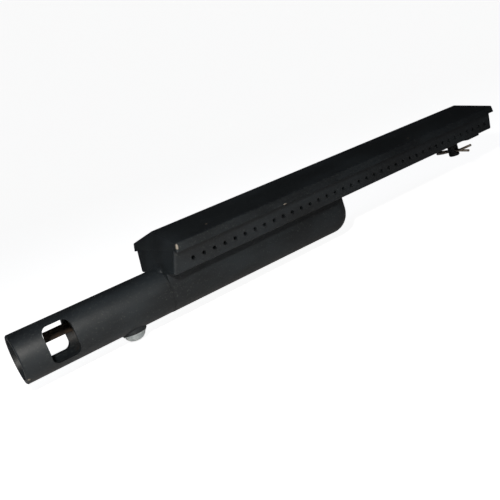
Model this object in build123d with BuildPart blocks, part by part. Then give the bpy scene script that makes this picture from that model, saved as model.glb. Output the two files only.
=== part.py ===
from build123d import *
from math import asin, cos, degrees, radians, sin
import os

# Cast-iron gas bar burner: a venturi tube that opens into a trough under a long ported head,
# closed by a gabled cap, with a sliding air shutter in the tube and a pinned stud at the far end.
# Frame: origin at the centre of the gas inlet, +X along the tube, +Z up. Millimetres.

os.makedirs("parts", exist_ok=True)

# ---- venturi tube ----
overcut = 1.0                  # how far cutting shapes run past the metal
tube_radius = 16.0            # outside of the inlet tube
bore_radius = 12.7            # bore of the inlet tube
mouth_chamfer = 0.6           # on the outer edge of the mouth
seat_radius = 13.0            # machined seat in the mouth for the gas fitting
seat_length = 14.0

# ---- air windows, milled straight through both sides of the tube ----
window_start = 16.9           # from the mouth to the near edge of the window
window_length = 17.7
window_bottom = -10.2
window_top = 13.0
window_corner = 4.5

# ---- ported head ----
head_start = 104.5            # end face at the height of the eaves
head_length = 329.5
head_draft = 3.5              # how far each end face leans out at the bottom
floor_bottom = 11.5           # underside of the head
floor_thickness = 3.5
wall_bottom_half = 27.6       # half width of the head at its underside
wall_top_half = 31.8          # half width of the head under the eaves
wall_thickness = 3.0
core_start_inset = 2.5        # from the head's end face to where the trough opens into it
wall_edge_radius = 1.2
head_corner = 2.0             # upright corners of the head, seen from above
drip_edge = 26.2              # underside of the eaves
wall_top = 27.4

# ---- flame ports, the same row on each side ----
port_radius = 1.4
port_pitch = 8.37
port_count = 38
port_height = 17.9
first_port = 12.2             # from the end face to the first port

# ---- trough that carries the gas from the tube to the head ----
trough_end = 264.5
trough_near_half = 16.2
trough_far_half = 17.1
trough_wall = 3.3
trough_end_radius = 13.5

# ---- cap ----
eave_half = 36.0
eave_height = 31.7
ridge_height = 39.7
cap_thickness = 3.5
cap_edge_radius = 0.9
cap_end_radius = 0.7          # on the rims of the two end faces
seal_thickness = 0.4
seal_width = 1.8
seal_inset = 0.05
eave_clearance = 0.3

# ---- cap screws, countersunk from below, three pairs ----
screw_radius = 2.0
screw_head_radius = 3.75
screw_head_sink = 0.25
screw_slot_width = 1.1
screw_slot_depth = 0.8
screw_hole_clearance = 0.2
screw_tap_clearance = 0.05
screw_half_spacing = 21.4
screw_first = 21.0            # from the end face to the first pair
screw_pair_pitch = 136.0
screw_pairs = 3
screw_length = 17.0
cap_boss_radius = 3.8
cap_boss_gap = 0.4

# ---- air shutter: a sleeve that slides in the bore ----
sleeve_clearance = 0.08
sleeve_wall = 1.0
sleeve_gap = 6.4              # from the window to the sleeve when the shutter is open
sleeve_length = 61.0
shutter_travel = 24.0
tongue_angle = 11.0           # above the +Y side of the bore
tongue_width = 7.2
tongue_length = 20.0

# ---- lock screw of the shutter ----
lock_x = 72.3
lock_boss_radius = 8.6
lock_boss_drop = 0.6           # how far the boss's face stands out under the tube
lock_boss_face = -(tube_radius + lock_boss_drop)
lock_shank_radius = 4.0
lock_dog_radius = 2.4
lock_dog_length = 2.2
lock_head_radius = 6.8
lock_head_height = 4.3
lock_head_crown = 1.8
lock_recess_length = 7.0
lock_recess_width = 1.5
lock_recess_depth = 2.2
lock_turn_gap = 0.3           # from the screw's shoulder to the sleeve
washer_radius = 7.8
washer_thickness = 1.3
washer_hole_clearance = 0.06
thread_clearance = 0.05
slot_clearance = 0.5

# ---- mounting stud and split pin ----
stud_x = 414.3
stud_radius = 4.65
stud_bottom = -3.8
stud_top = 17.0
stud_chamfer = 0.8
stud_cover = 1.0               # metal of the boss over the stud's upper end
pad_x = 411.0
pad_length = 16.0
pad_drop = 1.2
pin_height = 0.7
pin_wire_radius = 1.1
pin_leg_offset = 1.15         # from the pin's axis to the middle of each leg
pin_hole_clearance = 0.1
pin_eye_end = 17.2            # middle of the wire at the end of the eye, from the stud's axis
pin_eye_half = 3.4
pin_eye_taper = 3.6
pin_bend = 2.8                # radius of every bend in the wire
pin_upper_reach = 18.6        # how far the legs reach on the -Y side
pin_upper_rise = 2.6
pin_lower_reach = 17.6
pin_lower_drop = 1.4
pin_leg_spread = 0.3
pin_leg_straight = 1.9        # straight wire beyond the stud before the legs part
fit_gap = 0.02                # between faces of one body that only touch

# ---- worked out from the sizes above ----
head_end = head_start + head_length
floor_top = floor_bottom + floor_thickness
wall_lean = (wall_top_half - wall_bottom_half) / (drip_edge - floor_bottom)
end_lean = head_draft / (drip_edge - floor_bottom)
roof_slope = (ridge_height - eave_height) / eave_half
cap_seat = wall_top + seal_thickness
sleeve_outer = bore_radius - sleeve_clearance
sleeve_inner = sleeve_outer - sleeve_wall
sleeve_start = window_start + window_length + sleeve_gap
sleeve_end = sleeve_start + sleeve_length
washer_bottom = lock_boss_face - washer_thickness
lock_bottom = washer_bottom - lock_head_height
lock_shoulder = -(sleeve_outer + lock_turn_gap)
stud_pad_face = floor_bottom - pad_drop
screw_bottom = floor_bottom + screw_head_sink


def half_at(height):
    """Half width of the head's outer walls at a height."""
    return wall_bottom_half + wall_lean * (height - floor_bottom)


def start_at(height):
    """X of the head's near end face at a height."""
    return head_start - head_draft + end_lean * (height - floor_bottom)


def end_at(height):
    """X of the head's far end face at a height."""
    return head_end + head_draft - end_lean * (height - floor_bottom)


def head_rectangle(height, inset):
    """Outline of the head at a height, moved in by inset."""
    start = start_at(height) + inset
    end = end_at(height) - inset
    with BuildSketch(Plane.XY.offset(height)) as outline:
        with Locations(((start + end) / 2, 0)):
            RectangleRounded(end - start, 2 * (half_at(height) - inset), head_corner)
    return outline.sketch


def trough_section(x, half, top):
    """U section of the trough at x: straight sides, round bottom."""
    with BuildSketch(Plane.YZ.offset(x)) as section:
        with BuildLine():
            Line((half, 0), (half, top))
            Line((half, top), (-half, top))
            Line((-half, top), (-half, 0))
            ThreePointArc((-half, 0), (0, -half), (half, 0))
        make_face()
    return section.sketch


def screw_places():
    """Where the cap screws stand, as (x, y)."""
    places = []
    for pair in range(screw_pairs):
        x = head_start + screw_first + pair * screw_pair_pitch
        for side in (-1, 1):
            places.append((x, side * screw_half_spacing))
    return places


def port_places():
    """Where the ports stand along X."""
    return [head_start + first_port + index * port_pitch for index in range(port_count)]


# ---- burner body: tube, trough, floor and ported walls in one casting ----
with BuildPart() as trough_core:
    near = trough_section(start_at(floor_top) + core_start_inset, trough_near_half - trough_wall, floor_top + 1)
    far = trough_section(trough_end - trough_wall, trough_far_half - trough_wall, floor_top + 1)
    loft([near, far], ruled=True)
    core_end = trough_core.faces().sort_by(Axis.X)[-1]
    core_edges = core_end.edges().filter_by(lambda edge: edge.center().Z < floor_top)
    fillet(core_edges, radius=trough_end_radius - trough_wall)

with BuildPart() as head_box:
    # head box with its leaning walls
    loft([head_rectangle(floor_bottom, 0), head_rectangle(wall_top, 0)], ruled=True)
    fillet(head_box.faces().sort_by(Axis.Z)[0].edges(), radius=wall_edge_radius)
    # inside of the head box
    loft(
        [head_rectangle(floor_top, wall_thickness), head_rectangle(wall_top + overcut, wall_thickness)],
        ruled=True,
        mode=Mode.SUBTRACT,
    )

with BuildPart() as trough_shell:
    near = trough_section(start_at(floor_bottom), trough_near_half, floor_bottom + 1)
    far = trough_section(trough_end, trough_far_half, floor_bottom + 1)
    loft([near, far], ruled=True)
    shell_end = trough_shell.faces().sort_by(Axis.X)[-1]
    shell_edges = shell_end.edges().filter_by(lambda edge: edge.center().Z < floor_bottom)
    fillet(shell_edges, radius=trough_end_radius)

with BuildPart() as burner_body:
    add(head_box.part)
    add(trough_shell.part)
    # venturi tube, let a little way into the head's end
    with BuildSketch(Plane.YZ):
        Circle(tube_radius)
    extrude(amount=head_start + wall_thickness - 1)
    # cross pad that carries the stud
    with BuildSketch(Plane.XY.offset(stud_pad_face)):
        with Locations((pad_x, 0)):
            Rectangle(pad_length, 2 * (wall_bottom_half - wall_edge_radius / 2))
    extrude(amount=pad_drop + floor_thickness)
    # boss inside the head round the stud
    with BuildSketch(Plane.XY.offset(floor_top - overcut)):
        with Locations((stud_x, 0)):
            Circle(stud_radius + wall_thickness)
    extrude(amount=stud_top + stud_cover - floor_top + overcut)
    # flat boss under the tube for the lock screw
    with BuildSketch(Plane.XY.offset(lock_boss_face)):
        with Locations((lock_x, 0)):
            Circle(lock_boss_radius)
    extrude(amount=tube_radius)
    # gas way: seat, bore, trough and the slot in the floor
    with BuildSketch(Plane.YZ):
        Circle(seat_radius)
    extrude(amount=seat_length, mode=Mode.SUBTRACT)
    with BuildSketch(Plane.YZ):
        Circle(bore_radius)
    extrude(amount=head_start + wall_thickness, mode=Mode.SUBTRACT)
    add(trough_core.part, mode=Mode.SUBTRACT)
    # air windows through both sides of the tube
    with BuildSketch(Plane.XZ.offset(-tube_radius - overcut)):
        with Locations((window_start + window_length / 2, (window_bottom + window_top) / 2)):
            RectangleRounded(window_length, window_top - window_bottom, window_corner)
    extrude(amount=2 * (tube_radius + overcut), mode=Mode.SUBTRACT)
    # flame ports, drilled across both walls
    with BuildSketch(Plane.XZ.offset(-wall_top_half - overcut)):
        with Locations([(x, port_height) for x in port_places()]):
            Circle(port_radius)
    extrude(amount=2 * (wall_top_half + overcut), mode=Mode.SUBTRACT)
    # countersunk holes of the cap screws
    with Locations([(x, y, floor_bottom) for x, y in screw_places()]):
        Cylinder(
            screw_radius + screw_hole_clearance,
            3 * floor_thickness,
            mode=Mode.SUBTRACT,
        )
        Cone(
            screw_head_radius + screw_head_sink,
            0,
            screw_head_radius + screw_head_sink,
            align=(Align.CENTER, Align.CENTER, Align.MIN),
            mode=Mode.SUBTRACT,
        )
    # stud hole
    with BuildSketch(Plane.XY.offset(stud_pad_face - overcut)):
        with Locations((stud_x, 0)):
            Circle(stud_radius + fit_gap)
    extrude(amount=stud_top - stud_pad_face + overcut, mode=Mode.SUBTRACT)
    # tapped hole of the lock screw
    with BuildSketch(Plane.XY.offset(lock_boss_face - overcut)):
        with Locations((lock_x, 0)):
            Circle(lock_shank_radius + thread_clearance)
    extrude(amount=tube_radius, mode=Mode.SUBTRACT)
    mouth_edges = burner_body.edges().filter_by(GeomType.CIRCLE).group_by(Axis.X)[0]
    chamfer(mouth_edges.sort_by(SortBy.RADIUS)[-1], length=mouth_chamfer)
burner_body.part.label = "burner_body"
export_step(burner_body.part, "parts/burner_body.step")


# ---- cap: gabled roof with eaves that shield the ports ----
def cap_ends():
    """The two planes that the end faces of body and cap lie in."""
    near = Plane(origin=(start_at(wall_top), 0, wall_top), z_dir=(-1, 0, end_lean))
    far = Plane(origin=(end_at(wall_top), 0, wall_top), z_dir=(1, 0, end_lean))
    return near, far


with BuildPart() as burner_cap:
    # outside of the roof, its fascias and the ledge that sits on the walls
    inner_half = half_at(wall_top) + eave_clearance
    with BuildSketch(Plane.YZ.offset(head_start - head_draft)):
        with BuildLine():
            Polyline(
                (0, ridge_height),
                (eave_half, eave_height),
                (eave_half, drip_edge),
                (inner_half, drip_edge),
                (inner_half, cap_seat),
                (-inner_half, cap_seat),
                (-inner_half, drip_edge),
                (-eave_half, drip_edge),
                (-eave_half, eave_height),
                (0, ridge_height),
            )
        make_face()
    extrude(amount=head_length + 2 * head_draft)
    near_end, far_end = cap_ends()
    split(bisect_by=near_end, keep=Keep.BOTTOM)
    split(bisect_by=far_end, keep=Keep.BOTTOM)
    roof_edges = burner_cap.edges().filter_by(Axis.X).filter_by(lambda edge: edge.center().Z > drip_edge + 1)
    outer_edges = roof_edges.filter_by(lambda edge: abs(edge.center().Y) < 1 or edge.center().Z > cap_seat + 1)
    fillet(outer_edges, radius=cap_edge_radius)
    # soften the ends of the roof and of the fascias
    end_faces = burner_cap.faces().filter_by(lambda face: abs(face.normal_at().X) > 0.9)
    end_edges = end_faces.edges().filter_by(lambda edge: edge.center().Z > cap_seat + 1)
    fillet(end_edges, radius=cap_end_radius)
    # hollow under the roof, open towards the body
    hollow_half = half_at(wall_top) - wall_thickness
    hollow_rise = ridge_height - cap_thickness - cap_seat - roof_slope * cap_thickness / 2
    with BuildSketch(Plane.YZ.offset(start_at(wall_top) + wall_thickness)):
        with BuildLine():
            Polyline(
                (0, cap_seat + hollow_rise),
                (hollow_half, cap_seat + hollow_rise - roof_slope * hollow_half),
                (hollow_half, cap_seat - 1),
                (-hollow_half, cap_seat - 1),
                (-hollow_half, cap_seat + hollow_rise - roof_slope * hollow_half),
                (0, cap_seat + hollow_rise),
            )
        make_face()
    extrude(amount=end_at(wall_top) - start_at(wall_top) - 2 * wall_thickness, mode=Mode.SUBTRACT)
    # bosses that take the cap screws
    boss_bottom = floor_top + cap_boss_gap
    with BuildSketch(Plane.XY.offset(boss_bottom)):
        with Locations(screw_places()):
            Circle(cap_boss_radius)
    extrude(amount=cap_seat + hollow_rise - roof_slope * (screw_half_spacing - cap_boss_radius) - boss_bottom)
    with BuildSketch(Plane.XY.offset(boss_bottom - 1)):
        with Locations(screw_places()):
            Circle(screw_radius + screw_tap_clearance)
    extrude(amount=screw_bottom + screw_length - boss_bottom + 2, mode=Mode.SUBTRACT)
burner_cap.part.label = "burner_cap"
export_step(burner_cap.part, "parts/burner_cap.step")

# ---- seal between the walls and the cap ----
with BuildPart() as cap_seal:
    seal_start = start_at(wall_top) + seal_inset
    seal_end = end_at(wall_top) - seal_inset
    seal_half = half_at(wall_top) - seal_inset
    with BuildSketch(Plane.XY.offset(wall_top)):
        with Locations(((seal_start + seal_end) / 2, 0)):
            RectangleRounded(seal_end - seal_start, 2 * seal_half, head_corner)
            Rectangle(
                seal_end - seal_start - 2 * seal_width,
                2 * (seal_half - seal_width),
                mode=Mode.SUBTRACT,
            )
    extrude(amount=seal_thickness)
cap_seal.part.label = "cap_seal"
export_step(cap_seal.part, "parts/cap_seal.step")

# ---- cap screws ----
with BuildPart() as cap_screws:
    with BuildSketch(Plane.XY.offset(screw_bottom)):
        with Locations(screw_places()):
            Circle(screw_radius)
    extrude(amount=screw_length)
    with Locations([(x, y, screw_bottom) for x, y in screw_places()]):
        Cone(
            screw_head_radius,
            screw_radius,
            screw_head_radius - screw_radius,
            align=(Align.CENTER, Align.CENTER, Align.MIN),
        )
        Box(
            screw_slot_width,
            2 * screw_head_radius,
            2 * screw_slot_depth,
            mode=Mode.SUBTRACT,
        )
cap_screws.part.label = "cap_screws"
export_step(cap_screws.part, "parts/cap_screws.step")

# ---- shutter sleeve with its adjusting tongue ----
with BuildPart() as shutter_sleeve:
    tongue_start = sleeve_start - tongue_length
    with BuildSketch(Plane.YZ.offset(tongue_start)):
        Circle(sleeve_outer)
        Circle(sleeve_inner, mode=Mode.SUBTRACT)
    extrude(amount=sleeve_end - tongue_start)
    # cut the front of the tube away except for the tongue
    tongue_half_angle = degrees(asin(tongue_width / 2 / sleeve_outer))
    with BuildSketch(Plane.YZ.offset(tongue_start - 1)):
        with BuildLine():
            reach = 2 * sleeve_outer
            low = radians(tongue_angle - tongue_half_angle)
            high = radians(tongue_angle + tongue_half_angle)
            back = radians(tongue_angle + 180)
            Line((0, 0), (reach * cos(high), reach * sin(high)))
            ThreePointArc(
                (reach * cos(high), reach * sin(high)),
                (reach * cos(back), reach * sin(back)),
                (reach * cos(low), reach * sin(low)),
            )
            Line((reach * cos(low), reach * sin(low)), (0, 0))
        make_face()
    extrude(amount=tongue_length + 1, mode=Mode.SUBTRACT)
    # slot that the lock screw's dog runs in
    slot_half = lock_dog_radius + slot_clearance
    with BuildSketch(Plane.XY.offset(-bore_radius - 1)):
        with Locations((lock_x + shutter_travel / 2, 0)):
            SlotOverall(shutter_travel + 2 * slot_half, 2 * slot_half)
    extrude(amount=bore_radius, mode=Mode.SUBTRACT)
shutter_sleeve.part.label = "shutter_sleeve"
export_step(shutter_sleeve.part, "parts/shutter_sleeve.step")

# ---- lock screw: domed head, shank and dog point ----
with BuildPart() as lock_screw:
    crown_top = lock_head_height - lock_head_crown
    with BuildSketch(Plane.XZ) as screw_profile:
        with BuildLine():
            Line((0, lock_bottom), (0, lock_shoulder + lock_dog_length))
            Line((0, lock_shoulder + lock_dog_length), (lock_dog_radius, lock_shoulder + lock_dog_length))
            Line((lock_dog_radius, lock_shoulder + lock_dog_length), (lock_dog_radius, lock_shoulder))
            Line((lock_dog_radius, lock_shoulder), (lock_shank_radius, lock_shoulder))
            Line((lock_shank_radius, lock_shoulder), (lock_shank_radius, washer_bottom))
            Line((lock_shank_radius, washer_bottom), (lock_head_radius, washer_bottom))
            Line((lock_head_radius, washer_bottom), (lock_head_radius, washer_bottom - crown_top / 2))
            ThreePointArc(
                (lock_head_radius, washer_bottom - crown_top / 2),
                (lock_head_radius * 0.8, washer_bottom - crown_top - lock_head_crown * 0.35),
                (0, lock_bottom),
            )
        make_face()
    revolve(axis=Axis.Z)
    for turn in (0, 90):
        with BuildSketch(Plane.XY.offset(lock_bottom - 1)):
            Rectangle(lock_recess_length, lock_recess_width, rotation=turn)
        extrude(amount=lock_recess_depth + 1, mode=Mode.SUBTRACT)
lock_screw.part.position = (lock_x, 0, 0)
lock_screw.part.label = "lock_screw"
export_step(lock_screw.part, "parts/lock_screw.step")

# ---- washer under the lock screw's head ----
with BuildPart() as lock_washer:
    with BuildSketch(Plane.XY.offset(washer_bottom)):
        with Locations((lock_x, 0)):
            Circle(washer_radius)
            Circle(lock_shank_radius + washer_hole_clearance, mode=Mode.SUBTRACT)
    extrude(amount=washer_thickness)
    fillet(lock_washer.edges().filter_by(GeomType.CIRCLE).group_by(SortBy.RADIUS)[-1], radius=washer_thickness / 4)
lock_washer.part.label = "lock_washer"
export_step(lock_washer.part, "parts/lock_washer.step")

# ---- mounting stud, cross-drilled for the split pin ----
with BuildPart() as mounting_stud:
    with BuildSketch(Plane.XY.offset(stud_bottom)):
        with Locations((stud_x, 0)):
            Circle(stud_radius)
    extrude(amount=stud_top - stud_bottom - fit_gap)
    chamfer(mounting_stud.faces().sort_by(Axis.Z)[0].edges(), length=stud_chamfer)
    with BuildSketch(Plane.XZ.offset(-stud_radius - 1)):
        with Locations((stud_x, pin_height)):
            Circle(pin_leg_offset + pin_wire_radius + pin_hole_clearance)
    extrude(amount=2 * (stud_radius + 1), mode=Mode.SUBTRACT)
mounting_stud.part.label = "mounting_stud"
export_step(mounting_stud.part, "parts/mounting_stud.step")

# ---- split pin: one wire folded to an eye, with both legs bent out ----
with BuildPart() as split_pin:
    leg_end = stud_radius + pin_leg_straight
    eye_start = stud_radius + pin_wire_radius
    with BuildLine() as pin_way:
        FilletPolyline(
            (stud_x + pin_leg_offset + pin_leg_spread, -pin_upper_reach, pin_height + pin_upper_rise),
            (stud_x + pin_leg_offset, -leg_end, pin_height),
            (stud_x + pin_leg_offset, eye_start, pin_height),
            (stud_x + pin_eye_half, eye_start + pin_eye_taper, pin_height),
            (stud_x + pin_eye_half, pin_eye_end, pin_height),
            (stud_x - pin_eye_half, pin_eye_end, pin_height),
            (stud_x - pin_eye_half, eye_start + pin_eye_taper, pin_height),
            (stud_x - pin_leg_offset, eye_start, pin_height),
            (stud_x - pin_leg_offset, -leg_end, pin_height),
            (stud_x - pin_leg_offset - pin_leg_spread, -pin_lower_reach, pin_height - pin_lower_drop),
            radius=pin_bend,
        )
    pin_tip = pin_way.line @ 0
    with BuildSketch(Plane(origin=pin_tip, z_dir=pin_way.line % 0)):
        Circle(pin_wire_radius)
    sweep(path=pin_way.line)
split_pin.part.label = "split_pin"
export_step(split_pin.part, "parts/split_pin.step")
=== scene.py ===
# %% [markdown]
# # A cast-iron bar burner
#
# Gas enters the open end of the tube, draws air in through the windows, and mixes on its way down
# the tube into the trough. From there it rises into the long head and leaves through two rows of
# ports, under a gabled cap that keeps scale and drips off them. A sleeve inside the tube slides
# over the windows to set the air, and a cross-pinned stud holds the far end in its rack.
# The CAD model already has the exact castings, so this lesson is mostly about finishes: black
# heat-resistant paint over cast iron, brown bare steel, and bright zinc. Two details that only
# drilling and casting leave behind are added as real geometry.

import math

import bmesh
import bpy
from mathutils import Matrix, Vector


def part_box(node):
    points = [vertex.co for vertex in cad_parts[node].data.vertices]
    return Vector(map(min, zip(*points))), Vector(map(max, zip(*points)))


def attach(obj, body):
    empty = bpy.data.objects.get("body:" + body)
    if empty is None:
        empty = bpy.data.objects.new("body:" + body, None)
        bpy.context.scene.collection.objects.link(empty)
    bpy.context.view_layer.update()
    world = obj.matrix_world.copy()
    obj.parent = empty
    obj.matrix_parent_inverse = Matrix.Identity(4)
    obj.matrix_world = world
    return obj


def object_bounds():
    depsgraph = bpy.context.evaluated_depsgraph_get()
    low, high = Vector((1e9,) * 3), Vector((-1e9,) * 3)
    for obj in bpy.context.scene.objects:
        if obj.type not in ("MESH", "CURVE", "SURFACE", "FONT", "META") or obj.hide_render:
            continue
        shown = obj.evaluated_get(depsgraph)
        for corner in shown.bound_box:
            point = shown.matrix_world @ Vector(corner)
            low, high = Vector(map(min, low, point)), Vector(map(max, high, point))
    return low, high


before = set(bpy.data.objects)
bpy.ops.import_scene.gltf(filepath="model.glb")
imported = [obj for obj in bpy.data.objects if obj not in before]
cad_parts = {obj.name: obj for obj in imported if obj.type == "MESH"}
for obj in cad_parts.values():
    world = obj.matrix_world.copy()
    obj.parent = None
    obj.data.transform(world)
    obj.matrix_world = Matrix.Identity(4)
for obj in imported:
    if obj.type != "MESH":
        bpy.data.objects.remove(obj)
cad_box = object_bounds()
print("CAD box:", cad_box)

MM = 0.001

# %% [markdown]
# ## Two helpers for every material
#
# Paint charts and colour pickers speak in sRGB hex, but shaders add and multiply linear light. One
# function makes the change. The other adds a shader node, sets its values and joins its inputs, so
# a material reads from top to bottom as the layers of a real finish.


# %% Colour and node helpers
def linear(hex_code, alpha=1.0):
    """An sRGB hex colour as linear RGBA."""
    channels = [int(hex_code[i:i + 2], 16) / 255 for i in (1, 3, 5)]
    return tuple(c / 12.92 if c <= 0.04045 else ((c + 0.055) / 1.055) ** 2.4 for c in channels) + (alpha,)


def add_node(tree, kind, settings=None, **inputs):
    """Adds a node; an input is a value or another node's output. Underscores stand for spaces."""
    node = tree.nodes.new(kind)
    for name, value in (settings or {}).items():
        setattr(node, name, value)
    for name, value in inputs.items():
        key = int(name[1:]) if name[0] == "i" and name[1:].isdigit() else name.replace("_", " ")
        socket = node.inputs[key]
        if isinstance(value, bpy.types.NodeSocket):
            tree.links.new(value, socket)
        else:
            socket.default_value = value
    return node


def start_material(name):
    """An empty material; returns the material, its tree, Principled shader and object coordinates."""
    material = bpy.data.materials.new(name)
    material.use_nodes = True
    tree = material.node_tree
    tree.nodes.clear()
    shader = add_node(tree, "ShaderNodeBsdfPrincipled")
    add_node(tree, "ShaderNodeOutputMaterial", Surface=shader.outputs["BSDF"])
    place = add_node(tree, "ShaderNodeTexCoord").outputs["Object"]
    return material, tree, shader, place


def grain(tree, place, size_mm, detail=3.0, roughness=0.55, stretch=(1, 1, 1)):
    """Noise whose lumps are about size_mm across, stretched by a factor along each axis."""
    scaled = add_node(tree, "ShaderNodeMapping", Vector=place, Scale=[1 / s for s in stretch])
    noise = add_node(
        tree, "ShaderNodeTexNoise",
        Vector=scaled.outputs["Vector"], Scale=1 / (size_mm * MM), Detail=detail, Roughness=roughness,
    )
    return noise.outputs["Fac"]


def band(tree, value, low, high):
    """0 below low and 1 above high, smooth between; low may be the larger of the two."""
    settings = {"interpolation_type": "SMOOTHSTEP"}
    flip = low > high
    first, last = (high, low) if flip else (low, high)
    ends = {"i3": 1.0, "i4": 0.0} if flip else {"i3": 0.0, "i4": 1.0}
    node = add_node(tree, "ShaderNodeMapRange", settings, Value=value, From_Min=first, From_Max=last, **ends)
    return node.outputs["Result"]


def blend_colour(tree, mask, first, second):
    """Mixes two colours by a mask; each colour is RGBA or a socket."""
    node = add_node(tree, "ShaderNodeMix", {"data_type": "RGBA"}, Factor=mask)
    for socket, value in ((node.inputs[6], first), (node.inputs[7], second)):
        if isinstance(value, bpy.types.NodeSocket):
            tree.links.new(value, socket)
        else:
            socket.default_value = value
    return node.outputs[2]


def blend_value(tree, mask, first, second):
    """Mixes two numbers by a mask."""
    ends = {"From_Min": 0.0, "From_Max": 1.0, "To_Min": first, "To_Max": second}
    return add_node(tree, "ShaderNodeMapRange", Value=mask, **ends).outputs["Result"]


def combine(tree, operation, first, second):
    """Two numbers through one Math node."""
    node = add_node(tree, "ShaderNodeMath", {"operation": operation}, i0=first, i1=second)
    return node.outputs["Value"]


def height_to_normal(tree, height, distance_mm, strength=1.0, under=None):
    """A bump of a real height, on top of another bump if one is given."""
    node = add_node(tree, "ShaderNodeBump", Height=height, Distance=distance_mm * MM, Strength=strength)
    if under is not None:
        tree.links.new(under, node.inputs["Normal"])
    return node.outputs["Normal"]


# %% [markdown]
# ## Sizes that the finishes need
#
# A finish changes from place to place: the bore was never painted, and paint is knocked off where
# castings touch. The places are worked out from the boxes of the CAD parts, so they follow the
# model if its sizes change.

# %% Places on the burner
cap_low, cap_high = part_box("burner_cap")
sleeve_low, sleeve_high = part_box("shutter_sleeve")

SLEEVE_CLEARANCE = 0.08 * MM    # between the sleeve and the bore, all round
SLEEVE_LENGTH = 61 * MM         # the sleeve's ring, without its tongue
EAVE_DROP = 13.5 * MM           # from the ridge down to the eave's lower edge

bore_radius = (sleeve_high[2] - sleeve_low[2]) / 2 + SLEEVE_CLEARANCE
sleeve_ring = sleeve_high[0] - SLEEVE_LENGTH
head_start = cap_low[0]
head_end = cap_high[0]
eave_half = cap_high[1]
drip_edge = cap_high[2] - EAVE_DROP
print("bore radius %.4f m, head from %.4f to %.4f m" % (bore_radius, head_start, head_end))

# %% [markdown]
# ## Black paint on cast iron
#
# The castings were made in sand, so under the paint the skin is pebbled at about a millimetre and
# softly uneven at ten times that. The paint is a thin satin coat, silicone or stove black: IOR about
# 1.5, not metallic, roughness near 0.5. A little dust and rubbing lifts it to grey in patches. Paint
# went a little way into the mouth with the brush; further in, the iron is bare and has gone a sooty
# brown. A few small chips show the grey metal.


# %% Painted cast iron
def chip_mask(tree, place, chips):
    """1 inside any chip; a chip is a centre and a reach in each direction, in metres."""
    ragged = grain(tree, place, 0.9, detail=2.0)
    total = None
    for centre, reach in chips:
        moved = add_node(
            tree, "ShaderNodeMapping", {"vector_type": "TEXTURE"}, Vector=place, Location=centre, Scale=reach,
        )
        away = add_node(tree, "ShaderNodeVectorMath", {"operation": "LENGTH"}, i0=moved.outputs["Vector"])
        edge = combine(tree, "ADD", away.outputs["Value"], combine(tree, "MULTIPLY", ragged, 1.1))
        mask = band(tree, edge, 1.62, 1.38)
        total = mask if total is None else combine(tree, "MAXIMUM", total, mask)
    return total


def painted_cast_iron(name, chips):
    """Satin black heat-resistant paint over sand-cast iron, with a bare brown bore."""
    material, tree, shader, place = start_material(name)
    # dust and rubbing: large soft patches and a fine speckle
    patches = grain(tree, place, 26, detail=4.0, stretch=(2.2, 1, 1))
    speckle = grain(tree, place, 1.1, detail=2.0)
    colour = blend_colour(tree, band(tree, patches, 0.38, 0.70), linear("#121619"), linear("#20262A"))
    colour = blend_colour(tree, band(tree, speckle, 0.57, 0.76), colour, linear("#363B39"))
    # bare bore: nearer to the tube's axis than the wall's middle
    parts = add_node(tree, "ShaderNodeSeparateXYZ", Vector=place)
    across = add_node(tree, "ShaderNodeCombineXYZ", Y=parts.outputs["Y"], Z=parts.outputs["Z"])
    radius = add_node(tree, "ShaderNodeVectorMath", {"operation": "LENGTH"}, i0=across.outputs["Vector"])
    inside = band(tree, radius.outputs["Value"], bore_radius + 0.9 * MM, bore_radius + 0.3 * MM)
    rust = grain(tree, place, 6, detail=5.0, roughness=0.65)
    depth = combine(tree, "ADD", parts.outputs["X"], combine(tree, "MULTIPLY", rust, 14 * MM))
    in_tube = combine(
        tree, "MULTIPLY",
        band(tree, parts.outputs["X"], head_start - 1 * MM, head_start - 3 * MM),
        band(tree, depth, sleeve_ring - 1 * MM, sleeve_ring + 12 * MM),
    )
    bare = combine(tree, "MULTIPLY", inside, in_tube)
    brown = blend_colour(tree, band(tree, rust, 0.35, 0.68), linear("#1B140E"), linear("#3A2C1F"))
    colour = blend_colour(tree, bare, colour, brown)
    # chips down to grey iron, just beginning to rust
    chipped = chip_mask(tree, place, chips)
    iron = blend_colour(tree, band(tree, rust, 0.40, 0.60), linear("#6B645A"), linear("#9F978A"))
    colour = blend_colour(tree, chipped, colour, iron)
    tree.links.new(colour, shader.inputs["Base Color"])
    # satin, a little drier in the dusty patches
    rough = blend_value(tree, patches, 0.40, 0.58)
    rough = combine(tree, "ADD", rough, blend_value(tree, speckle, -0.05, 0.07))
    tree.links.new(rough, shader.inputs["Roughness"])
    shader.inputs["IOR"].default_value = 1.5
    # cast skin: pebbled grain over slow unevenness
    slow = height_to_normal(tree, grain(tree, place, 14, detail=1.0), 0.35, 0.5)
    pebble = height_to_normal(tree, grain(tree, place, 1.5, detail=4.0), 0.11, 0.8, under=slow)
    tree.links.new(pebble, shader.inputs["Normal"])
    return material


eave_chip = ((head_start + 1.0 * MM, -eave_half, drip_edge + 3.7 * MM), (1.3 * MM, 1.3 * MM, 1.8 * MM))
roof_chips = [
    ((134.9 * MM, -26.1 * MM, 33.9 * MM), (0.8 * MM, 0.6 * MM, 0.8 * MM)),
    ((331.1 * MM, -28.4 * MM, 33.4 * MM), (0.8 * MM, 0.6 * MM, 0.8 * MM)),
    ((192.0 * MM, -eave_half, drip_edge + 0.4 * MM), (1.5 * MM, 0.5 * MM, 0.4 * MM)),
]
mouth_chip = ((1.0 * MM, -11.3 * MM, -11.3 * MM), (0.9 * MM, 1.2 * MM, 1.2 * MM))
cap_paint = painted_cast_iron("satin_black_paint_on_cast_iron_cap", [eave_chip] + roof_chips)
body_paint = painted_cast_iron("satin_black_paint_on_cast_iron_body", [mouth_chip])
print("painted cast iron:", len(body_paint.node_tree.nodes), "nodes")

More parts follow.
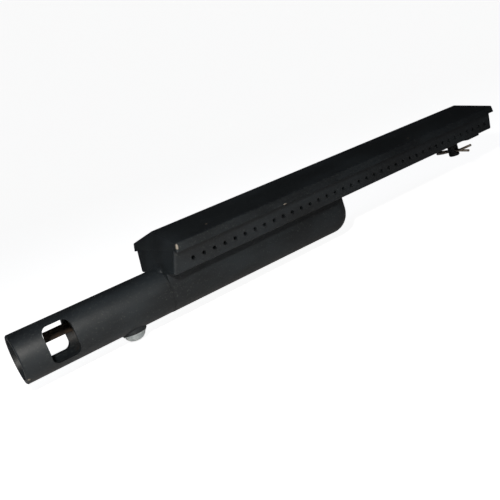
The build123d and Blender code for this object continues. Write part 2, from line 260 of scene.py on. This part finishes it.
# %% [markdown]
# ## Steel, three ways
#
# Bare steel that has been hot turns brown and dull, and drawn wire keeps faint lines along its
# length. Zinc plating is a bright bluish grey with a fine sparkle and soft dull clouds. None is a
# clean mirror: where a finish is dull or oxidised, part of its colour is diffuse, so its metallic
# value is below one. The zinc is set below one for another reason as well: its bright diffuse share
# is a painted reflection, lifting the screw and washer the way bright surroundings would in a mirror.


# %% Steel finishes
def browned_steel(name, dark, light, roughness, lines_along, metal):
    """Bare steel coloured by heat, with fine lines along one axis."""
    material, tree, shader, place = start_material(name)
    clouds = grain(tree, place, 7, detail=5.0, roughness=0.62)
    lines = grain(tree, place, 0.35, detail=2.0, stretch=lines_along)
    colour = blend_colour(tree, band(tree, clouds, 0.34, 0.68), linear(dark), linear(light))
    colour = blend_colour(tree, band(tree, lines, 0.62, 0.82), colour, linear(dark))
    tree.links.new(colour, shader.inputs["Base Color"])
    shader.inputs["Metallic"].default_value = metal
    tree.links.new(blend_value(tree, clouds, roughness - 0.10, roughness + 0.12), shader.inputs["Roughness"])
    tree.links.new(height_to_normal(tree, lines, 0.015, 0.5), shader.inputs["Normal"])
    return material


def zinc_with_painted_reflection(name):
    """Bright zinc plating, a little clouded, with small dark nicks; its diffuse share is a painted
    reflection.
    """
    material, tree, shader, place = start_material(name)
    clouds = grain(tree, place, 3.5, detail=4.0)
    sparkle = add_node(tree, "ShaderNodeTexVoronoi", Vector=place, Scale=1 / (0.5 * MM))
    nicks = grain(tree, place, 0.8, detail=2.0)
    colour = blend_colour(tree, band(tree, clouds, 0.35, 0.65), linear("#BAC2C4"), linear("#E2E7E7"))
    colour = blend_colour(tree, band(tree, nicks, 0.68, 0.76), colour, linear("#4A4D4C"))
    tree.links.new(colour, shader.inputs["Base Color"])
    # metallic only 0.6, so part of the bright zinc colour is diffuse: a painted reflection of bright
    # surroundings
    shader.inputs["Metallic"].default_value = 0.6
    tree.links.new(blend_value(tree, clouds, 0.30, 0.48), shader.inputs["Roughness"])
    fine = height_to_normal(tree, sparkle.outputs["Distance"], 0.012, 0.35)
    tree.links.new(height_to_normal(tree, clouds, 0.05, 0.35, under=fine), shader.inputs["Normal"])
    return material


shutter_steel = browned_steel("heat_browned_mild_steel", "#1A120C", "#36281B", 0.62, (14, 1, 1), 0.3)
pin_steel = browned_steel("drawn_steel_wire", "#94877A", "#DCD3C6", 0.42, (1, 12, 1), 0.4)
oxide_steel = browned_steel("black_oxide_steel", "#17181A", "#2A2C2E", 0.40, (1, 1, 6), 0.8)
# zinc for the lock screw and washer; its bright diffuse share is a painted reflection
zinc = zinc_with_painted_reflection("bright_zinc_with_painted_reflection")

# %% Dress the CAD parts
FINISHES = {
    "burner_body": body_paint,
    "burner_cap": cap_paint,
    "mounting_stud": body_paint,
    "cap_seal": body_paint,
    "cap_screws": oxide_steel,
    "shutter_sleeve": shutter_steel,
    "lock_screw": zinc,
    "lock_washer": zinc,
    "split_pin": pin_steel,
}
for node, material in FINISHES.items():
    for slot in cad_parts[node].material_slots:
        slot.material = material
print("dressed", len(FINISHES), "CAD parts")

# %% [markdown]
# ## Burrs round the ports
#
# Each port was drilled from outside, through paint and skin, and the drill pushed up a low ring of
# metal round the hole. Seventy-six rings are a job for Geometry Nodes: a line of points along each
# wall, one ring on every point, leaned back with the wall and slightly different in size each time.

# %% Ports, as the drill left them
WALL_RISE = 14.7 * MM           # height of the head's leaning walls
WALL_LEAN_OUT = 4.2 * MM        # how far a side wall leans out over that height

PORTS = {
    "Count": 38,
    "First": head_start + 12.2 * MM,
    "Pitch": 8.37 * MM,
    "Height": 17.9 * MM,
    "Wall": 29.43 * MM,
    "Lean": math.atan2(WALL_LEAN_OUT, WALL_RISE),
    "Ring radius": 1.52 * MM,
    "Ring thickness": 0.17 * MM,
    "Seed": 7,
}


def burr_tree(material):
    """Node tree that sets a low ring round every port on both walls."""
    tree = bpy.data.node_groups.new("port_burrs", "GeometryNodeTree")
    kinds = {int: "NodeSocketInt", float: "NodeSocketFloat"}
    for name, value in PORTS.items():
        tree.interface.new_socket(name, in_out="INPUT", socket_type=kinds[type(value)])
    tree.interface.new_socket("Geometry", in_out="OUTPUT", socket_type="NodeSocketGeometry")
    given = tree.nodes.new("NodeGroupInput").outputs
    # one ring: a circle carried round a circle
    path = add_node(tree, "GeometryNodeCurvePrimitiveCircle", Resolution=18, Radius=given["Ring radius"])
    section = add_node(tree, "GeometryNodeCurvePrimitiveCircle", Resolution=4, Radius=given["Ring thickness"])
    ring = add_node(
        tree, "GeometryNodeCurveToMesh",
        Curve=path.outputs["Curve"], Profile_Curve=section.outputs["Curve"],
    )
    step = add_node(tree, "ShaderNodeCombineXYZ", X=given["Pitch"])
    joined = tree.nodes.new("GeometryNodeJoinGeometry")
    for side in (-1, 1):
        away = add_node(tree, "ShaderNodeMath", {"operation": "MULTIPLY"}, i0=given["Wall"], i1=float(side))
        first = add_node(
            tree, "ShaderNodeCombineXYZ",
            X=given["First"], Y=away.outputs["Value"], Z=given["Height"],
        )
        line = add_node(
            tree, "GeometryNodeMeshLine",
            Count=given["Count"], Start_Location=first.outputs["Vector"], Offset=step.outputs["Vector"],
        )
        lean = add_node(
            tree, "ShaderNodeMath", {"operation": "MULTIPLY_ADD"},
            i0=given["Lean"], i1=float(side), i2=math.radians(90),
        )
        turn = add_node(tree, "ShaderNodeCombineXYZ", X=lean.outputs["Value"])
        vary = add_node(
            tree, "FunctionNodeRandomValue", {"data_type": "FLOAT"},
            i2=0.94, i3=1.05, Seed=given["Seed"],
        )
        rings = add_node(
            tree, "GeometryNodeInstanceOnPoints",
            Points=line.outputs["Mesh"], Instance=ring.outputs["Mesh"],
            Rotation=turn.outputs["Vector"], Scale=vary.outputs[1],
        )
        tree.links.new(rings.outputs["Instances"], joined.inputs["Geometry"])
    real = add_node(tree, "GeometryNodeRealizeInstances", Geometry=joined.outputs["Geometry"])
    painted = add_node(tree, "GeometryNodeSetMaterial", Geometry=real.outputs["Geometry"], Material=material)
    add_node(tree, "NodeGroupOutput", Geometry=painted.outputs["Geometry"])
    return tree


def grow(name, tree, values, body):
    """Runs a node tree with its inputs set, and keeps the result as a plain mesh on a CAD body."""
    seed_object = bpy.data.objects.new(name + "_seed", bpy.data.meshes.new(name + "_seed"))
    bpy.context.scene.collection.objects.link(seed_object)
    modifier = seed_object.modifiers.new("grow", "NODES")
    modifier.node_group = tree
    for item in tree.interface.items_tree:
        if item.in_out == "INPUT" and item.name in values:
            modifier[item.identifier] = values[item.name]
    bpy.context.view_layer.update()
    seen = seed_object.evaluated_get(bpy.context.evaluated_depsgraph_get())
    mesh = bpy.data.meshes.new_from_object(seen)
    bpy.data.objects.remove(seed_object)
    mesh.name = name
    piece = bpy.data.objects.new(name, mesh)
    bpy.context.scene.collection.objects.link(piece)
    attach(piece, body)
    print(name, len(mesh.polygons), "faces")
    return piece


burrs = grow("port_burrs", burr_tree(body_paint), PORTS, "burner")
for face in burrs.data.polygons:
    face.use_smooth = True

# %% [markdown]
# ## The fillet at the tube's shoulder
#
# Moulders run a hollow fillet into every inside corner of a pattern, because iron cracks at sharp
# ones. Where the top of the tube meets the leaning end of the head there is one of about three
# millimetres. It is a strip swept round the tube: at each angle, an arc runs from the tube up to
# the end face, and two faces behind it close the strip inside the iron.

# %% Shoulder fillet
TUBE_RADIUS = 16.0 * MM
HEAD_UNDERSIDE = 11.5 * MM
FACE_FOOT = 101.0 * MM
FACE_LEAN_OUT = 3.5 * MM
FACE_SLOPE = FACE_LEAN_OUT / WALL_RISE
FILLET = 2.8 * MM
SINK = 0.03 * MM                # how far the strip's edges are let into the iron
BACKING = 0.4 * MM              # depth of the strip's hidden back


def end_face_at(height):
    """X of the head's end face at a height."""
    return FACE_FOOT + FACE_SLOPE * (height - HEAD_UNDERSIDE)


def shoulder_strip(name, arc_steps=8, turn_steps=32):
    """Hollow fillet between the top of the tube and the end face."""
    mesh = bmesh.new()
    lowest = math.asin((HEAD_UNDERSIDE + 1.6 * MM) / TUBE_RADIUS)
    sections = []
    for turn in range(turn_steps + 1):
        angle = lowest + (math.pi - 2 * lowest) * turn / turn_steps
        side, rise = math.cos(angle), math.sin(angle)
        taper = min(1.0, 0.08 + 2.4 * math.sin(math.pi * turn / turn_steps))
        reach = FILLET * taper
        section = []
        for step in range(arc_steps + 1):
            sweep = math.radians(90 * step / arc_steps)
            out = TUBE_RADIUS + reach * (1 - math.cos(sweep)) - SINK * (step == 0)
            x = end_face_at(out * rise) - reach * (1 - math.sin(sweep)) + SINK * (step == arc_steps)
            section.append(mesh.verts.new((x, out * side, out * rise)))
        inner = TUBE_RADIUS - BACKING
        hidden = (end_face_at(inner * rise) + BACKING, inner * side, inner * rise)
        section.append(mesh.verts.new(hidden))
        sections.append(section)
    count = len(sections[0])
    for first, second in zip(sections, sections[1:]):
        for i in range(count):
            j = (i + 1) % count
            mesh.faces.new((first[i], first[j], second[j], second[i]))
    mesh.faces.new(sections[0])
    mesh.faces.new(list(reversed(sections[-1])))
    bmesh.ops.recalc_face_normals(mesh, faces=mesh.faces)
    for face in mesh.faces:
        face.smooth = len(face.verts) == 4
    data = bpy.data.meshes.new(name)
    mesh.to_mesh(data)
    mesh.free()
    piece = bpy.data.objects.new(name, data)
    bpy.context.scene.collection.objects.link(piece)
    return piece


shoulder = shoulder_strip("shoulder_fillet")
shoulder.data.materials.append(body_paint)
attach(shoulder, "burner")
print("shoulder fillet:", len(shoulder.data.polygons), "faces")

# %% [markdown]
# ## Floor
#
# The floor is a wide shallow bowl in pale grey, so no edge shows from any side. It lies a little
# below the burner, because the lock screw reaches lower when it is backed out.


# %% Floor
def shallow_bowl(name, flat, rim, lift, height, sides=96, curve_steps=12):
    """A round floor that curves up at its rim, turned about Z."""
    mesh = bmesh.new()
    profile = [(0.0, height), (flat * 0.5, height), (flat, height)]
    for step in range(1, curve_steps + 1):
        angle = math.radians(90 * step / curve_steps)
        profile.append((flat + (rim - flat) * math.sin(angle), height + lift * (1 - math.cos(angle))))
    rings = []
    for radius, z in profile[1:]:
        turns = [2 * math.pi * i / sides for i in range(sides)]
        rings.append([mesh.verts.new((radius * math.cos(t), radius * math.sin(t), z)) for t in turns])
    centre = mesh.verts.new((0, 0, height))
    for i in range(sides):
        mesh.faces.new((centre, rings[0][i], rings[0][(i + 1) % sides]))
        for inner, outer in zip(rings, rings[1:]):
            mesh.faces.new((inner[i], outer[i], outer[(i + 1) % sides], inner[(i + 1) % sides]))
    for face in mesh.faces:
        face.smooth = True
    data = bpy.data.meshes.new(name)
    mesh.to_mesh(data)
    mesh.free()
    piece = bpy.data.objects.new(name, data)
    bpy.context.scene.collection.objects.link(piece)
    return piece


def pale_floor_paint():
    """Matt pale paint; the camera sees it brighter than the object does, as over-lit paper looks."""
    material, tree, shader, _ = start_material("pale_matt_floor")
    shader.inputs["Base Color"].default_value = linear("#EDEEEF")
    shader.inputs["Roughness"].default_value = 0.9
    glow = add_node(tree, "ShaderNodeEmission", Color=linear("#FFFFFF"), Strength=0.93)
    both = add_node(tree, "ShaderNodeAddShader", i0=shader.outputs["BSDF"], i1=glow.outputs["Emission"])
    seen = add_node(tree, "ShaderNodeLightPath").outputs["Is Camera Ray"]
    mix = add_node(
        tree, "ShaderNodeMixShader",
        Fac=seen, i1=shader.outputs["BSDF"], i2=both.outputs["Shader"],
    )
    output = next(n for n in tree.nodes if n.type == "OUTPUT_MATERIAL")
    tree.links.new(mix.outputs["Shader"], output.inputs["Surface"])
    return material


FLOOR_DROP = 3 * MM             # room for the lock screw when it is backed out
floor = shallow_bowl("floor", flat=2.2, rim=4.0, lift=2.6, height=cad_box[0][2] - FLOOR_DROP)
floor.data.materials.append(pale_floor_paint())
print("floor:", len(floor.data.polygons), "faces")

# %% [markdown]
# ## Camera
#
# The camera stands near the tube's mouth, a little above it, and looks along the burner. It is
# rolled, so that the burner climbs to the upper right.

# %% Camera
CAMERA_PLACE = Vector((-0.0378, -0.3712, 0.0895))
CAMERA_AZIMUTH = math.radians(-29.79)
CAMERA_ELEVATION = math.radians(11.93)
CAMERA_ROLL = math.radians(-18.80)
CAMERA_LENS = 43.01


def camera_axes(azimuth, elevation, roll):
    """Right, up and back directions of a camera."""
    level = Vector((math.cos(azimuth), math.sin(azimuth), 0))
    back = Vector((
        math.sin(azimuth) * math.cos(elevation),
        -math.cos(azimuth) * math.cos(elevation),
        math.sin(elevation),
    ))
    right = level * math.cos(roll) + back.cross(level) * math.sin(roll)
    return right, back.cross(right), back


right, up, back = camera_axes(CAMERA_AZIMUTH, CAMERA_ELEVATION, CAMERA_ROLL)
camera_data = bpy.data.cameras.new("camera")
camera_data.sensor_width = 36
camera_data.lens = CAMERA_LENS
camera_data.clip_start = 0.01
camera = bpy.data.objects.new("camera", camera_data)
camera.matrix_world = Matrix.Translation(CAMERA_PLACE) @ Matrix((right, up, back)).transposed().to_4x4()
bpy.context.scene.collection.objects.link(camera)
bpy.context.scene.camera = camera
print("camera lens %.1f mm, %.2f m from the mouth" % (CAMERA_LENS, CAMERA_PLACE.length))

# %% [markdown]
# ## Lights
#
# The key light is a small lamp beside the camera. It falls off along the burner, so the near end is
# brightest and the far end almost black, as with a lamp held at the camera. A large cool panel
# overhead, a weak one facing the end of the cap, and a little light from all round keep the shadows
# open.


# %% Lights
def panel(name, place, target, width, power, colour):
    """A square soft light at a place, facing a target."""
    data = bpy.data.lights.new(name, "AREA")
    data.size = width
    data.energy = power
    data.color = linear(colour)[:3]
    lamp = bpy.data.objects.new(name, data)
    aim = Vector(target) - Vector(place)
    lamp.matrix_world = Matrix.Translation(place) @ aim.to_track_quat("-Z", "Y").to_matrix().to_4x4()
    bpy.context.scene.collection.objects.link(lamp)
    return lamp


SHOULDER = (0.10, 0, 0)         # the lamps face the place where tube and head meet
key_place = CAMERA_PLACE + up * 0.09 - right * 0.07
lamps = [
    panel("key", key_place, SHOULDER, width=0.025, power=1.40, colour="#FFFAF4"),
    panel("overhead", (0.0, -0.2, 1.4), SHOULDER, width=1.2, power=0.9, colour="#DCE8FF"),
    panel("left fill", (-0.55, -0.12, 0.20), (0.1, 0, 0.02), width=0.35, power=0.30, colour="#E8F0FF"),
]
world = bpy.data.worlds.new("soft_room")
world.use_nodes = True
background = world.node_tree.nodes["Background"].inputs
background["Color"].default_value = linear("#E6ECF2")
background["Strength"].default_value = 0.02
bpy.context.scene.world = world
print("lamps:", ", ".join(lamp.name for lamp in lamps))
bpy.context.scene.view_settings.view_transform = "Standard"
